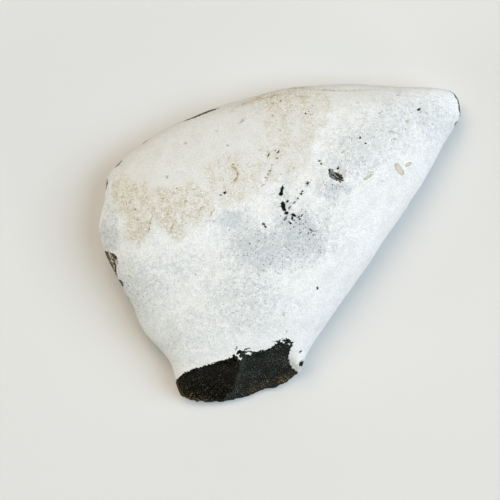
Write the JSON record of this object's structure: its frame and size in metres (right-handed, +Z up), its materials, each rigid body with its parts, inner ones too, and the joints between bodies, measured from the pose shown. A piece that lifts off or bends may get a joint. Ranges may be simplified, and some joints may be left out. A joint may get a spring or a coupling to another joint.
{
  "type": "flint nodule",
  "caption": "Flattened, water-worn flint nodule in white chalky cortex, broken off at one end to show dark glassy flint.",
  "frame": {"origin": "on the ground, under the middle of the stone's box, lying on its flat spot", "axes": "+X along the longest side towards the rounded tip, +Y away from the broken end, +Z up"},
  "size_m": [0.0869, 0.0766, 0.0214],
  "materials": {
    "chalky_flint": "matte"
  },
  "bodies": {
    "root": {"flint_nodule": "chalky_flint"}
  },
  "joints": []
}
